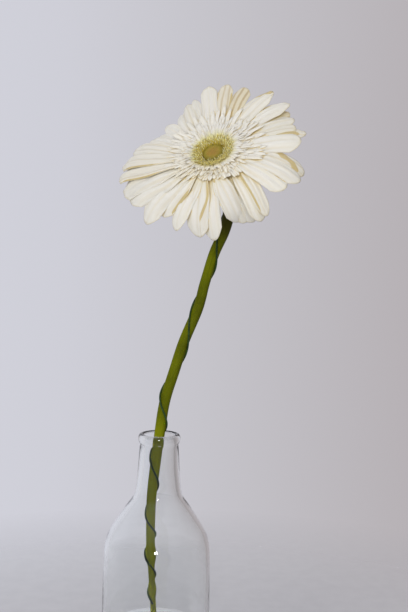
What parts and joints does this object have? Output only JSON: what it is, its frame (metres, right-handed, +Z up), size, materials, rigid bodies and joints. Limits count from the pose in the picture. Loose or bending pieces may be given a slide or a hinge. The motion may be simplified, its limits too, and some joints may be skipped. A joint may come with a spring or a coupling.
{
  "type": "gerbera in a bottle",
  "caption": "White gerbera daisy on a curved green stem wound with florist's wire, standing in a clear glass bottle with a long neck and water in it.",
  "frame": {"origin": "middle of the bottle's flat base, on the surface it stands on", "axes": "+Z up along the bottle's axis, -Y towards the side the flower faces, +X to the right of someone looking at the flower's face"},
  "size_m": [0.1206, 0.0966, 0.4414],
  "materials": {
    "clear_glass": "clear, polished",
    "water": "clear, still",
    "stem_green": "satin",
    "wire_green": "satin",
    "calyx_green": "matte",
    "petal_white": "soft matte",
    "inner_petal_white": "soft matte",
    "floret_yellow": "matte",
    "bud_olive": "matte"
  },
  "bodies": {
    "root": {"glass_bottle": "clear_glass", "water": "water", "stem": "stem_green", "support_wire": "wire_green", "receptacle": "calyx_green", "bracts_inner": "calyx_green", "bracts_outer": "calyx_green", "lower_petal_01": "petal_white", "lower_petal_02": "petal_white", "lower_petal_03": "petal_white", "lower_petal_04": "petal_white", "lower_petal_05": "petal_white", "lower_petal_06": "petal_white", "lower_petal_07": "petal_white", "lower_petal_08": "petal_white", "lower_petal_09": "petal_white", "lower_petal_10": "petal_white", "lower_petal_11": "petal_white", "lower_petal_12": "petal_white", "lower_petal_13": "petal_white", "lower_petal_14": "petal_white", "lower_petal_15": "petal_white", "lower_petal_16": "petal_white", "lower_petal_17": "petal_white", "upper_petal_01": "petal_white", "upper_petal_02": "petal_white", "upper_petal_03": "petal_white", "upper_petal_04": "petal_white", "upper_petal_05": "petal_white", "upper_petal_06": "petal_white", "upper_petal_07": "petal_white", "upper_petal_08": "petal_white", "upper_petal_09": "petal_white", "upper_petal_10": "petal_white", "upper_petal_11": "petal_white", "upper_petal_12": "petal_white", "upper_petal_13": "petal_white", "upper_petal_14": "petal_white", "upper_petal_15": "petal_white", "upper_petal_16": "petal_white", "upper_petal_17": "petal_white", "inner_petals_long": "inner_petal_white", "inner_petals_mid": "inner_petal_white", "inner_petals_short": "inner_petal_white", "disc_florets_open": "floret_yellow", "disc_florets_bud": "bud_olive"}
  },
  "joints": []
}
